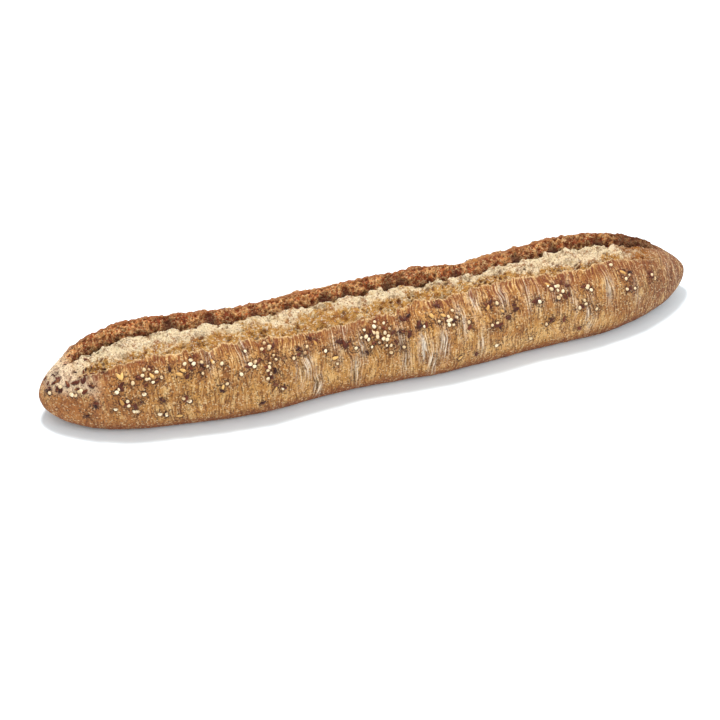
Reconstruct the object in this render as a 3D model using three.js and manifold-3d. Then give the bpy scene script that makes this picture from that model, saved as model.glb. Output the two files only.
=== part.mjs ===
// A multigrain baguette, baked whole. It was scored once along its length, so the far side of the cut
// lifted into a thin ear, the crumb swelled out of the cut beside it, and seeds are baked into the crust.
// Sizes are in millimetres. X runs along the loaf, Y across it (the ear is on the +Y side) and Z up
// from the flat underside that the loaf rests on. Angles run round the crust in degrees: 0 is the widest
// line of the front, 90 the crown, 180 the widest line of the back.
import * as THREE from "three";
import { mergeVertices } from "three/addons/utils/BufferGeometryUtils.js";
import Module from "manifold-3d";

// The loaf's driving sizes.
const LENGTH = 430;
const HALF_WIDTH = 35;
const CROWN_HEIGHT = 51.5;

// The section before scoring, as shares of the half width and of the crown height.
const BASE_SHARE = 0.66;
const WAIST_SHARE = 0.4;
const DOME_POWER = 2.3;
const HEEL_POWER = 2.2;
// The flat of the underside that the loaf rests on, and how far the rest of the underside stands clear.
const FLAT = { left: -140, right: 110, half: 14, edge: 8, clear: 0.4, share: 0.6 };

// How each end tapers: over what run, and how bluntly, and how far its tip lifts off the surface.
const LEFT_END = { run: 73, power: 0.587 };
const RIGHT_END = { run: 104, power: 0.62 };
const TIP_LIFT = 16;
const TIP_CURVE = 1.5;

// Slow changes by hand shaping, each at even stations from the left tip to the right tip.
const SWAY = [7.5, 1.5, -6, -2.5, -5, -1.5, 1, 6];
const BULK = [0.01, -0.02, -0.025, -0.045, -0.02, -0.03, 0.03, 0.07];
const CREST_SHARE = [-0.07, -0.07, -0.07, -0.07, -0.07, -0.07, 0, 0.05];
const EAR_LIFT = [5, 5.2, 4.4, 3.7, 3.2, 2.9, 3.1, 4.5, 5.2, 1.1, 2.6, 4.8, 5.6, 5, 4.7];
const LIP_SHARE = [
  -0.55, -0.61, -0.57, -0.58, -0.5, -0.63, -0.63, -0.58, -0.48, -0.42, -0.47,
  -0.54, -0.42, -0.48, -0.5,
];
// A tongue of skin that didn't tear away reaches over the crumb here: middle, reach and width.
const TONGUE = { x: 15, reach: 0.13, width: 7 };

// Across the opening, widths are shares of the half width, and heights are mm above or below the dome.
const LIP_RISE = 0.8;
const GUTTER = { width: 0.035, depth: 1.2 };
// The crumb's slope from the lip to its crest: share of the way, and rise.
const CRUMB_SLOPE = [[0.35, -0.3], [0.65, 0.9]];
const CREST = { rise: 2, width: 0.08, drop: 1.2 };
const CREVICE = { behind: 0.15, depth: 8 };
// The ear's inner face: share of the way back, and share of the climb from the crevice to the ear's edge.
const EAR_FACE = [[0.2, 0.25], [0.5, 0.58], [0.8, 0.88]];
const EAR = { tip: 0.37, edge: 0.05, drop: 0.8, shoulder: 0.45, root: 0.75 };
// How far from each tip the cut opens, and how far from each tip its far side lifts into the ear.
const OPENS = { left: [16, 32], right: [12, 75] };
const LIFTS = { left: [13, 25], right: [8, 32] };
// Bubbles that burst on the ear's inner face: place along the loaf, share of the climb, and radius.
const BUBBLES = [
  [-133, 0.45, 4], [-109, 0.5, 4.5], [-81, 0.3, 4], [-60, 0.3, 3], [-36, 0.3, 4.5], [-22, 0.3, 3.5],
  [5, 0.4, 3.2], [13, 0.4, 3.2], [50, 0.3, 3.5], [93, 0.4, 4], [119, 0.3, 4.5], [152, 0.4, 4],
];
const BUBBLE_DEPTH = 3;
const BUBBLE_CLIMB = 0.35;

// How many rings of the mesh lie along the loaf, and how rough its torn crumb, its edges and its skin are.
const STATIONS = 104;
const CRUMB_ROUGHNESS = 2.2;
const EDGE_ROUGHNESS = 0.7;
const SKIN_ROUGHNESS = 0.3;

// The seeds, and how much of their thickness stands clear of the crust.
const SEEDS = {
  pale: { length: 2.9, width: 2.4, thickness: 2, proud: 0.6 },
  brown: { length: 5, width: 2.6, thickness: 1.6, proud: 0.55 },
  golden: { length: 5, width: 2.7, thickness: 1.6, proud: 0.55 },
};
// Clusters on the front: place along the loaf, angle, and counts of pale, brown and golden seeds.
const FRONT_CLUSTERS = [
  [-206, 50, 2, 3, 0], [-203, 70, 0, 3, 0], [-196, 58, 0, 3, 0], [-192, 85, 0, 3, 0], [-190, 37, 3, 3, 0],
  [-199, 31, 3, 0, 0], [-187, 12, 0, 2, 0], [-172, 30, 2, 2, 0], [-169, 44, 0, 0, 2], [-166, 5, 4, 5, 0],
  [-155, 37, 6, 3, 1], [-149, -10, 4, 1, 0], [-134, 36, 0, 1, 2], [-128, 47, 4, 3, 0], [-135, 8, 2, 3, 0],
  [-114, 41, 2, 0, 1], [-113, 13, 1, 1, 1], [-93, 34, 3, 2, 0], [-84, 48, 5, 3, 0], [-86, 21, 4, 4, 0],
  [-80, 5, 1, 2, 0], [-62, 37, 1, 4, 0], [-53, 44, 0, 1, 1], [-42, 21, 0, 0, 1], [-36, 31, 0, 4, 0],
  [-19, 36, 7, 5, 0], [-10, 33, 6, 3, 0], [5, 50, 0, 3, 0], [4, 33, 0, 4, 0], [14, 36, 1, 4, 0],
  [27, 60, 0, 3, 0], [31, 41, 5, 2, 1], [45, 28, 1, 1, 0], [60, 43, 1, 4, 0], [64, 20, 2, 4, 0],
  [75, 33, 0, 2, 0], [90, 36, 1, 3, 0], [98, 6, 1, 2, 0], [105, 49, 4, 3, 0], [107, 34, 3, 2, 0],
  [121, 20, 3, 1, 0], [127, 38, 3, 1, 0], [158, 46, 2, 3, 1], [159, 28, 2, 2, 0], [178, 38, 2, 3, 0],
];
// The back has clusters like them, placed by chance, and stray seeds lie all over the crust.
const BACK = { clusters: 42, low: 190, high: 128, pale: 5, brown: 5, golden: 1.6 };
const STRAYS = { count: 110, low: -22, high: 202, pale: 0.5, brown: 0.85 };
const SEEDED_REACH = 200;
// A cluster spreads by this much for each seed's root, on a crust where a degree is this many mm.
const CLUSTER_SPREAD = 2.2;
const MM_PER_DEGREE = 0.65;
// Seeds keep this many degrees below the torn lip.
const LIP_MARGIN = 4;
// This many of the seeds are in the solid, and this share of them are the long ones.
const FUSED_SEEDS = 104;
const LONG_SHARE = 0.65;
const SEED_SEGMENTS = [6, 3];
const MERGE_WITHIN = 1e-5;
const CRUST_COLOUR = 0xb07c46;

const mix = (a, b, share) => a + (b - a) * share;
const ramp = (x, [from, to]) => THREE.MathUtils.smoothstep(x, from, to);

// A stream of numbers from 0 to 1 that is the same on every run.
function numbers(state) {
  return () => {
    state = (Math.imul(state, 1664525) + 1013904223) >>> 0;
    return state / 2 ** 32;
  };
}
const roughness = numbers(7);
const scatter = numbers(20);

// A value at x, on a smooth curve through values that stand at even stations from tip to tip.
function along(values, x) {
  const last = values.length - 1;
  const place = THREE.MathUtils.clamp(x / LENGTH + 0.5, 0, 1) * last;
  const i = Math.min(Math.floor(place), last - 1);
  const f = place - i;
  const [a, b] = [values[Math.max(i - 1, 0)], values[i]];
  const [c, d] = [values[i + 1], values[Math.min(i + 2, last)]];
  const cubic = (3 * b - a - 3 * c + d) * f ** 3;
  return 0.5 * (2 * b + (c - a) * f + (2 * a - 5 * b + 4 * c - d) * f * f + cubic);
}

function endTaper(distance, { run, power }) {
  const u = THREE.MathUtils.clamp(distance / run, 0, 1);
  return (1 - (1 - u) ** 2) ** power;
}

// The loaf's size at x as a share of its full size.
const taper = (x) =>
  endTaper(LENGTH / 2 + x, LEFT_END) * endTaper(LENGTH / 2 - x, RIGHT_END);

// How far the cut has opened at x, or the ear has lifted, from 0 on the closed tips to 1.
const grown = (x, { left, right }) =>
  ramp(LENGTH / 2 + x, left) * ramp(LENGTH / 2 - x, right);

// The dome's height share at a width share, and the point of the closed crust at an angle.
const dome = (y) =>
  WAIST_SHARE + (1 - WAIST_SHARE) * (1 - Math.abs(y) ** DOME_POWER) ** (1 / DOME_POWER);

function crust(degrees) {
  const angle = THREE.MathUtils.degToRad(degrees);
  const [c, s] = [Math.cos(angle), Math.sin(angle)];
  const side = -Math.sign(c);
  if (s >= 0) {
    const y = side * Math.abs(c) ** (2 / DOME_POWER);
    return [y, WAIST_SHARE + (1 - WAIST_SHARE) * s ** (2 / DOME_POWER)];
  }
  const y = side * mix(BASE_SHARE, 1, Math.abs(c) ** (2 / HEEL_POWER));
  return [y, WAIST_SHARE * (1 - (-s) ** (2 / HEEL_POWER))];
}
const angleOf = (y) =>
  THREE.MathUtils.radToDeg(Math.acos(-Math.sign(y) * Math.abs(y) ** (DOME_POWER / 2)));

// The width share of the torn lip at x.
const lipAt = (x) =>
  along(LIP_SHARE, x) + TONGUE.reach * Math.exp(-(((x - TONGUE.x) / TONGUE.width) ** 2));

// How deep the burst bubbles dent the ear's inner face, at a share of its climb.
const dents = (x, climb) =>
  BUBBLES.reduce((sum, [middle, height, radius]) => {
    const away = ((x - middle) / radius) ** 2 + ((climb - height) / BUBBLE_CLIMB) ** 2;
    return sum + BUBBLE_DEPTH * Math.exp(-away);
  }, 0);

// The lines across the opening at x: width share, rise, and roughness.
function openingLines(x) {
  const open = grown(x, OPENS);
  const lift = grown(x, LIFTS);
  const lip = lipAt(x);
  const crest = along(CREST_SHARE, x);
  const crevice = crest + CREVICE.behind;
  const ear = along(EAR_LIFT, x) * lift;
  const crumb = CRUMB_ROUGHNESS * open;
  const edge = EDGE_ROUGHNESS * open;
  const skin = EDGE_ROUGHNESS * lift;
  return [
    [lip, LIP_RISE * open, edge],
    [lip + GUTTER.width, -GUTTER.depth * open, edge],
    ...CRUMB_SLOPE.map(([share, rise]) => [mix(lip, crest, share), rise * open, crumb]),
    [crest, CREST.rise * open, crumb],
    [crest + CREST.width, (CREST.rise - CREST.drop) * open, crumb],
    [crevice, -CREVICE.depth * open, edge],
    ...EAR_FACE.map(([share, climb]) => [
      mix(crevice, EAR.tip, share),
      mix(-CREVICE.depth * open, ear, climb) - dents(x, climb) * open,
      crumb,
    ]),
    [EAR.tip, ear, CRUMB_ROUGHNESS * lift],
    [EAR.tip + EAR.edge, ear - EAR.drop * lift, skin],
    [mix(EAR.tip, EAR.root, 0.5), EAR.shoulder * ear, skin],
    [EAR.root, 0, skin],
  ];
}

// The crust's angles below the opening, from its middle underneath out to each side.
const HEEL_ANGLES = [-66, -42, -18];
const FRONT_SHARES = [0, 0.2, 0.4, 0.6, 0.8];
const BACK_SHARES = [0.2, 0.4, 0.6, 0.8, 1];

// A width share and a height share become a point of the loaf at x.
function place(x, y, z, rise = 0) {
  const size = taper(x);
  return new THREE.Vector3(
    x,
    y * HALF_WIDTH * size * (1 + along(BULK, x)) + along(SWAY, x),
    z * CROWN_HEIGHT * size + TIP_LIFT * (1 - size) ** TIP_CURVE + rise * Math.sqrt(size),
  );
}

// A point of the underside, raised where it lies outside the flat.
function underside(point) {
  const outside = Math.max(FLAT.left - point.x, point.x - FLAT.right, Math.abs(point.y) - FLAT.half);
  point.z += FLAT.clear * ramp(outside, [0, FLAT.edge]);
  return point;
}

// A point on an edge of the flat: the edges are straight, and close in with the loaf at its ends.
function flatEdge(x, side) {
  const [least, most] = [-FLAT.share, FLAT.share].map((share) => place(x, share, 0).y);
  const point = place(x, 0, 0);
  return underside(point.setY(THREE.MathUtils.clamp(side * FLAT.half, least, most)));
}

// One ring of points round the loaf at x, from the back of the base forward and over the top.
function ring(x) {
  const rough = (amount) => (roughness() - 0.5) * amount;
  const points = [flatEdge(x, 1), flatEdge(x, -1), underside(place(x, -BASE_SHARE, 0))];
  const skin = (angle) => {
    const [y, z] = crust(angle);
    const swell = 1 + rough(SKIN_ROUGHNESS) / HALF_WIDTH;
    points.push(place(x, y * swell, z * swell));
  };
  for (const angle of HEEL_ANGLES) skin(angle);
  for (const share of FRONT_SHARES) skin(share * angleOf(lipAt(x)));
  for (const [y, rise, amount] of openingLines(x))
    points.push(place(x, y, dome(y), rise + rough(amount)));
  for (const share of BACK_SHARES) skin(mix(angleOf(EAR.root), 180, share));
  for (const angle of HEEL_ANGLES.toReversed()) skin(180 - angle);
  points.push(underside(place(x, BASE_SHARE, 0)));
  return points;
}

// Stations at even steps along the loaf's outline in plan, so that the blunt tips get rings too.
function stations(count) {
  const steps = 4000;
  const outline = [];
  for (let i = 0, run = 0; i <= steps; i++) {
    const x = -0.5 * LENGTH * Math.cos((Math.PI * i) / steps);
    const reach = HALF_WIDTH * taper(x);
    const before = outline.at(-1);
    if (before) run += Math.hypot(x - before.x, reach - before.reach);
    outline.push({ x, reach, run });
  }
  const total = outline.at(-1).run;
  return Array.from({ length: count }, (_, i) => {
    const wanted = (total * (i + 1)) / (count + 1);
    return outline.find((p) => p.run >= wanted).x;
  });
}

// The loaf without its seeds: rings joined side by side and closed by a point at each tip.
function loafGeometry() {
  const rings = stations(STATIONS).map(ring);
  const round = rings[0].length;
  const points = [place(-LENGTH / 2, 0, 0), ...rings.flat(), place(LENGTH / 2, 0, 0)];
  const faces = [];
  const at = (i, j) => 1 + i * round + (j % round);
  for (let j = 0; j < round; j++) {
    faces.push(0, at(0, j), at(0, j + 1));
    faces.push(points.length - 1, at(STATIONS - 1, j + 1), at(STATIONS - 1, j));
    for (let i = 0; i < STATIONS - 1; i++) {
      faces.push(at(i, j), at(i + 1, j), at(i, j + 1));
      faces.push(at(i, j + 1), at(i + 1, j), at(i + 1, j + 1));
    }
  }
  const geometry = new THREE.BufferGeometry().setFromPoints(points);
  geometry.setIndex(faces);
  return geometry;
}

// Where each seed lies: its kind, its place along the loaf, its angle, and the turn it lies at.
function seedPlaces() {
  const places = [];
  const centred = () => scatter() + scatter() - 1;
  const put = (kind, x, angle) => {
    const edge = angleOf(lipAt(x)) - LIP_MARGIN;
    const onFront = angle < 90 && grown(x, OPENS) > 0;
    places.push({ kind, x, angle: onFront ? Math.min(angle, edge) : angle, turn: Math.PI * scatter() });
  };
  const cluster = ([middle, centre, ...counts]) => {
    const spread = CLUSTER_SPREAD * Math.sqrt(counts[0] + counts[1] + counts[2]);
    Object.keys(SEEDS).forEach((kind, k) => {
      for (let i = 0; i < counts[k]; i++) {
        const x = middle + centred() * spread;
        put(kind, x, centre + (centred() * spread) / MM_PER_DEGREE);
      }
    });
  };
  FRONT_CLUSTERS.forEach(cluster);
  for (let i = 0; i < BACK.clusters; i++) {
    const x = mix(-SEEDED_REACH, SEEDED_REACH, (i + scatter()) / BACK.clusters);
    const angle = mix(BACK.high, BACK.low, scatter());
    cluster([x, angle, ...[BACK.pale, BACK.brown, BACK.golden].map((most) => Math.floor(scatter() * most))]);
  }
  for (let i = 0; i < STRAYS.count; i++) {
    const x = mix(-SEEDED_REACH, SEEDED_REACH, (i + scatter()) / STRAYS.count);
    const draw = scatter();
    const kind = draw < STRAYS.pale ? "pale" : draw < STRAYS.brown ? "brown" : "golden";
    const angle = mix(STRAYS.low, STRAYS.high, scatter());
    const torn = angle > angleOf(lipAt(x)) - LIP_MARGIN && angle < angleOf(EAR.root);
    if (!torn || grown(x, OPENS) === 0) put(kind, x, angle);
  }
  return places;
}

// The long seeds come first, and both sorts are thinned evenly along the loaf.
function fusedSeeds() {
  const all = seedPlaces().sort((a, b) => a.x - b.x);
  const thinned = (list, count) =>
    Array.from({ length: count }, (_, i) => list[Math.floor((i * list.length) / count)]);
  const long = Math.round(FUSED_SEEDS * LONG_SHARE);
  return [
    ...thinned(all.filter((seed) => seed.kind !== "pale"), long),
    ...thinned(all.filter((seed) => seed.kind === "pale"), FUSED_SEEDS - long),
  ];
}

// The matrix that lays a unit ball on the crust as a seed: flat side down, half sunk, its length at a turn.
function seedMatrix({ kind, x, angle, turn }) {
  const point = (dx, da) => place(x + dx, ...crust(angle + da));
  const lengthwise = point(0.5, 0).sub(point(-0.5, 0)).normalize();
  const upwards = point(0, 1).sub(point(0, -1)).normalize();
  const normal = new THREE.Vector3().crossVectors(lengthwise, upwards).normalize();
  const axis = lengthwise.clone().applyAxisAngle(normal, turn);
  const across = new THREE.Vector3().crossVectors(axis, normal);
  const { length, width, thickness, proud } = SEEDS[kind];
  return new THREE.Matrix4()
    .makeBasis(across, axis, normal)
    .scale(new THREE.Vector3(width / 2, length / 2, thickness / 2))
    .setPosition(point(0, 0).addScaledVector(normal, thickness * (proud - 0.5)));
}

const wasm = await Module();
wasm.setup();

function solidOf(geometry) {
  const plain = geometry.clone();
  for (const name of ["normal", "uv"]) plain.deleteAttribute(name);
  const merged = mergeVertices(plain, MERGE_WITHIN);
  return new wasm.Manifold(
    new wasm.Mesh({
      numProp: 3,
      vertProperties: merged.attributes.position.array,
      triVerts: new Uint32Array(merged.index.array),
    }),
  );
}

// The seeds joined into the loaf, and the whole set on its base with its middle at the origin.
function seededLoaf() {
  let loaf = solidOf(loafGeometry());
  const ball = solidOf(new THREE.SphereGeometry(1, ...SEED_SEGMENTS));
  for (const seed of fusedSeeds()) loaf = loaf.add(ball.transform(seedMatrix(seed).elements));
  const { vertProperties, triVerts } = loaf.getMesh();
  const geometry = new THREE.BufferGeometry()
    .setAttribute("position", new THREE.BufferAttribute(vertProperties, 3))
    .setIndex(new THREE.BufferAttribute(triVerts, 1));
  geometry.computeBoundingBox();
  const middle = geometry.boundingBox.getCenter(new THREE.Vector3());
  geometry.translate(-middle.x, -middle.y, 0);
  geometry.computeVertexNormals();
  return geometry;
}

const baguette = new THREE.Group();
const loaf = new THREE.Mesh(
  seededLoaf(),
  new THREE.MeshStandardMaterial({ color: CRUST_COLOUR, roughness: 0.8, metalness: 0 }),
);
loaf.name = "loaf";
baguette.add(loaf);

export default baguette;
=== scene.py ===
# %% [markdown]
# # A seeded baguette
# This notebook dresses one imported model, a multigrain baguette, for its portrait. The model is a plain
# faceted solid. Here it is made again as a fine mesh with torn crumb, a scorched ear, wrinkled crust and
# separate seeds, on the same named sizes, so that it fits the solid without being moved.

import math

import bpy
import numpy as np
from mathutils import Matrix, Vector, noise
from mathutils.bvhtree import BVHTree
from mathutils.kdtree import KDTree


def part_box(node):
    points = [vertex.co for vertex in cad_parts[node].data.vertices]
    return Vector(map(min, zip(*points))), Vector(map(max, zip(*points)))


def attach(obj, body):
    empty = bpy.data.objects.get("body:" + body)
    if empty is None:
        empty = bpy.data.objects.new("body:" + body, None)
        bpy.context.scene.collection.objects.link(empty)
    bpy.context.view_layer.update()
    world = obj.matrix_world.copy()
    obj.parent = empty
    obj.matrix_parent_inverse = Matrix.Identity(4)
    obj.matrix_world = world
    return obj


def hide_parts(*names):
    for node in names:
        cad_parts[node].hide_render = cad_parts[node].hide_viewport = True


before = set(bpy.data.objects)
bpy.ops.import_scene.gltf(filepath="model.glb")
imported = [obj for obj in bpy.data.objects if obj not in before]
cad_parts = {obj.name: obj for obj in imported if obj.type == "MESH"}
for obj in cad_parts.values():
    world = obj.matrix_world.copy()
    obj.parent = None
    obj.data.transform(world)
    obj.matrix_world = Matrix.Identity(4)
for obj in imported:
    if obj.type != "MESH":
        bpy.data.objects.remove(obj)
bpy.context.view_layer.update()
low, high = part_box("loaf")
print("The solid loaf runs from", low[:], "to", high[:], "in metres")

# %% [markdown]
# ## The size of the loaf
# A baker rolls a baguette by hand, so it sways and swells a little on its way from tip to tip. Each of those
# slow changes is a short list of values at even steps along the loaf, with a smooth curve through them. A
# sculpted mesh could do the same, but named values can be read, and they are the ones that the solid uses,
# except that the tips are a little fuller here. Shapes are worked out in millimetres, because bread is
# measured in them, and become metres at the end.

# %% Sizes along the loaf
MM = 0.001
LENGTH = round((high.x - low.x) / MM, 1)
HALF_WIDTH = 35
CROWN_HEIGHT = 51.5
LEFT_END = {"run": 73, "power": 0.555}
RIGHT_END = {"run": 104, "power": 0.565}
TIP_LIFT = 16
TIP_CURVE = 1.5

# From the left tip to the right: millimetres to the side, and the share by which the loaf is fuller.
SWAY = [7.5, 1.5, -6, -2.5, -5, -1.5, 1, 6]
BULK = [0.01, -0.02, -0.025, -0.045, -0.02, -0.03, 0.03, 0.07]
# Where the crest and the lip lie across it, as shares of its half width, and how high the ear stands.
CREST_SHARE = [-0.07, -0.07, -0.07, -0.07, -0.07, -0.07, 0, 0.05]
EAR_LIFT = [5, 5.2, 4.4, 3.7, 3.2, 2.9, 3.1, 4.5, 5.2, 1.1, 2.6, 4.8, 5.6, 5, 4.7]
LIP_SHARE = [
    -0.55, -0.61, -0.57, -0.58, -0.5, -0.63, -0.63, -0.58, -0.48, -0.42, -0.47, -0.54, -0.42, -0.48, -0.5,
]
# A tongue of skin that reaches into the cut.
TONGUE = {"x": 15, "reach": 0.13, "width": 7}
# How far from each tip the cut begins and is fully open, and the same for the ear's lift.
OPENS = {"left": (16, 32), "right": (12, 75)}
LIFTS = {"left": (13, 25), "right": (8, 32)}


def mix(a, b, share):
    """A share of the way from a to b."""
    return a + (b - a) * share


def ramp(value, start, end):
    """A smooth step from 0 at start to 1 at end."""
    t = np.clip((value - start) / (end - start), 0, 1)
    return t * t * (3 - 2 * t)


def bell(away, width):
    """1 where away is 0, falling smoothly to 0 on both sides within about two widths."""
    return np.exp(-((away / width) ** 2))


def smooth_curve(a, b, c, d, f):
    """A share f of the way from b to c, on a smooth curve that also heeds a before and d after them."""
    square = (2 * a - 5 * b + 4 * c - d) * f**2
    cubic = (3 * b - a - 3 * c + d) * f**3
    return 0.5 * (2 * b + (c - a) * f + square + cubic)


def along(values, x):
    """A value at x, on a smooth curve through values at even steps from tip to tip."""
    v = np.asarray(values, float)
    last = len(v) - 1
    step = np.clip(x / LENGTH + 0.5, 0, 1) * last
    i = np.minimum(step.astype(int), last - 1)
    f = step - i
    return smooth_curve(v[np.maximum(i - 1, 0)], v[i], v[i + 1], v[np.minimum(i + 2, last)], f)


def end_taper(distance, end):
    """The share of the full size at a distance from a tip."""
    u = np.clip(distance / end["run"], 0, 1)
    return (1 - (1 - u) ** 2) ** end["power"]


def taper(x):
    """The loaf's size at x as a share of its full size."""
    return end_taper(LENGTH / 2 + x, LEFT_END) * end_taper(LENGTH / 2 - x, RIGHT_END)


def grown(x, spans):
    """How far the cut has opened at x, or its ear has lifted, from 0 on the closed tips to 1."""
    return ramp(LENGTH / 2 + x, *spans["left"]) * ramp(LENGTH / 2 - x, *spans["right"])


def lip_at(x):
    """Where the torn lip lies across the loaf, as a share of its half width."""
    return along(LIP_SHARE, x) + TONGUE["reach"] * bell(x - TONGUE["x"], TONGUE["width"])


for x in (-200, -100, 0, 100, 200):
    print("At", x, "mm the loaf has", taper(np.array(x)).round(2), "of its full size")

# %% [markdown]
# ## The section of the loaf
# Cut across, a baguette has a flat base, sides that bulge out over it and a dome above. A superellipse draws
# that well: a circle's formula with another power, which squares it off slightly. Places round the section
# are given as an angle, with 0 at the widest line of the front, 90 at the crown and 180 at the widest line
# of the back.

# %% The closed section
BASE_SHARE = 0.66
WAIST_SHARE = 0.4
DOME_POWER = 2.3
HEEL_POWER = 2.2
# The flat that the loaf rests on, in millimetres, and how far the rest stands clear of the table.
FLAT = {"left": -140, "right": 110, "half": 14, "edge": 8, "clear": 0.4}


def dome(y):
    """The dome's height share over a width share."""
    return WAIST_SHARE + (1 - WAIST_SHARE) * (1 - np.abs(y) ** DOME_POWER) ** (1 / DOME_POWER)


def crust(degrees):
    """The width share and the height share of the closed crust at an angle."""
    angle = np.radians(degrees)
    c, s = np.cos(angle), np.sin(angle)
    above = np.maximum(s, 0) ** (2 / DOME_POWER)
    below = np.maximum(-s, 0) ** (2 / HEEL_POWER)
    wide_above = np.abs(c) ** (2 / DOME_POWER)
    wide_below = mix(BASE_SHARE, 1, np.abs(c) ** (2 / HEEL_POWER))
    wide = np.where(s >= 0, wide_above, wide_below)
    tall = np.where(s >= 0, WAIST_SHARE + (1 - WAIST_SHARE) * above, WAIST_SHARE * (1 - below))
    return -np.sign(c) * wide, tall


def angle_of(y):
    """The angle of the dome's crust at a width share."""
    return np.degrees(np.arccos(-np.sign(y) * np.abs(y) ** (DOME_POWER / 2)))


tip = min((v.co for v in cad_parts["loaf"].data.vertices), key=lambda co: co.x)
SIDE_SHIFT = tip.y / MM - SWAY[0]


def place(x, y, z, rise=0.0):
    """The point of the loaf at x for a width share, a height share and a rise in millimetres."""
    size = taper(x)
    across = y * HALF_WIDTH * size * (1 + along(BULK, x)) + along(SWAY, x) + SIDE_SHIFT
    up = z * CROWN_HEIGHT * size + TIP_LIFT * (1 - size) ** TIP_CURVE + rise * np.sqrt(size)
    return np.stack(np.broadcast_arrays(x, across, up), -1)


def spot_on_crust(x, angle):
    """One point of the closed crust, at a place along the loaf and an angle."""
    return place(np.array(float(x)), *crust(np.array(float(angle))))


print("The model is centred on its box, which moved the loaf", round(SIDE_SHIFT, 2), "mm sideways")

# %% [markdown]
# ## The opening along the top
# Before baking, the loaf is scored with a blade held nearly flat. In the oven the dough swells out of the
# cut: the near edge tears into a thin lip, the crumb piles up to a crest, and the far edge peels away into
# an ear with a deep crevice at its foot. Those are the lines of the section here, each a width share and a
# rise over the dome, and a smooth curve runs through them.

# %% Lines across the opening
# Rises, depths and drops are in millimetres, and widths are shares of the half width.
LIP_RISE = 0.8
GUTTER = {"width": 0.035, "depth": 1.2}
CREST = {"rise": 2, "width": 0.08, "drop": 1.2}
CREVICE = {"behind": 0.15, "depth": 8}
EAR = {"tip": 0.37, "edge": 0.05, "drop": 0.8, "shoulder": 0.45, "root": 0.75}
CURL = 0.012
LIP_RAGGED = {"aside": 0.035, "up": 0.7}
CREST_RAGGED = 0.8

LINE_NAMES = [
    "foot of the lip", "lip", "under the lip", "gutter", "low slope", "high slope", "crest", "crest back",
    "wall", "crevice", "ear foot", "ear middle", "ear high", "ear tip", "ear edge", "shoulder", "root",
]
LINE = {name: number for number, name in enumerate(LINE_NAMES)}


def wobble(x, spacing, at=0.0):
    """Noise along the loaf, from about -1 to 1, whose waves are this many millimetres apart."""
    return np.array([2 * noise.fractal(Vector((v / spacing, at, 0)), 0.7, 2.0, 3) for v in x])


def opening_lines(x):
    """For each station, the width share and the rise of every line across the opening."""
    opened, lifted = grown(x, OPENS), grown(x, LIFTS)
    lip = lip_at(x) + LIP_RAGGED["aside"] * wobble(x, 7) * opened
    torn_up = LIP_RAGGED["up"] * wobble(x, 5, 9.0) * opened
    crest = along(CREST_SHARE, x)
    crevice = crest + CREVICE["behind"]
    pile = (CREST["rise"] + CREST_RAGGED * wobble(x, 13, 4.0)) * opened
    ear = along(EAR_LIFT, x) * lifted
    bottom = -CREVICE["depth"] * opened

    def face(share, climb):
        return mix(crevice, EAR["tip"], share), mix(bottom, ear, climb)

    lines = [
        (lip - CURL, 0.7 * LIP_RISE * opened + 0.6 * torn_up),
        (lip + CURL, LIP_RISE * opened + torn_up),
        (lip + 1.5 * CURL, -0.4 * opened),
        (lip + GUTTER["width"], -GUTTER["depth"] * opened + torn_up),
        (mix(lip, crest, 0.35), -0.3 * opened),
        (mix(lip, crest, 0.65), 0.9 * opened),
        (crest, pile),
        (crest + CREST["width"], pile - CREST["drop"] * opened),
        (crest + 0.75 * CREVICE["behind"], mix(bottom, pile, 0.35)),
        (crevice, bottom),
        face(0.2, 0.25),
        face(0.5, 0.58),
        face(0.8, 0.88),
        (np.full_like(x, EAR["tip"]), ear),
        (np.full_like(x, EAR["tip"] + EAR["edge"]), ear - EAR["drop"] * lifted),
        (np.full_like(x, mix(EAR["tip"], EAR["root"], 0.5)), EAR["shoulder"] * ear),
        (np.full_like(x, EAR["root"]), 0.0 * ear),
    ]
    return np.array(lines).transpose(2, 0, 1)


print(len(LINE_NAMES), "lines shape the opening:", ", ".join(LINE_NAMES))

# %% [markdown]
# ## A fine grid over the whole loaf
# The mesh is one closed grid: rings of points across the loaf, joined from tip to tip. It could be made by
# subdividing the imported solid, but a grid puts its points where the detail is, close together on the torn
# crumb and the ear and far apart underneath. Every point also knows where it lies across the section, which
# the relief and the colours use later.

# %% Points of one ring
STATIONS = 534
# Points across the flat base, the heel, the front and the back.
BASE_POINTS = 8
HEEL_POINTS = 16
FRONT_POINTS = 44
BACK_POINTS = 34
# Points on each stretch between two lines of the opening, close enough for the crumb's detail.
STRETCHES = [1, 1, 1, 8, 8, 8, 4, 5, 5, 5, 7, 7, 5, 2, 6, 6]


def evenly(start, end, count):
    """Values at even steps from start, stopping one step before end."""
    return np.linspace(start, end, count, endpoint=False)


steps = np.concatenate([evenly(i, i + 1, n) for i, n in enumerate(STRETCHES)])
FRONT_END, BACK_START = 0, len(LINE_NAMES) - 1
ring_place = np.concatenate([
    evenly(-4, -3, BASE_POINTS),
    evenly(-3, -2, HEEL_POINTS),
    evenly(-2, FRONT_END, FRONT_POINTS),
    steps,
    evenly(BACK_START, BACK_START + 2, BACK_POINTS),
])
print("A ring has", len(ring_place), "points, and there are", STATIONS, "rings")

# %% [markdown]
# ## The form before it tears
# With the places of the points settled, the loaf is drawn as it would be with no relief: base, heel, front,
# opening and back are worked out in turn and joined into one ring. Rings at even steps of length would leave
# the blunt tips bare, so they stand at even steps along the outline as it is seen from above.

# %% The smooth form
OUTLINE_SAMPLES = 6001
# Degrees over which the skin rises to the lip.
LIP_SLOPE = 7


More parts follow.
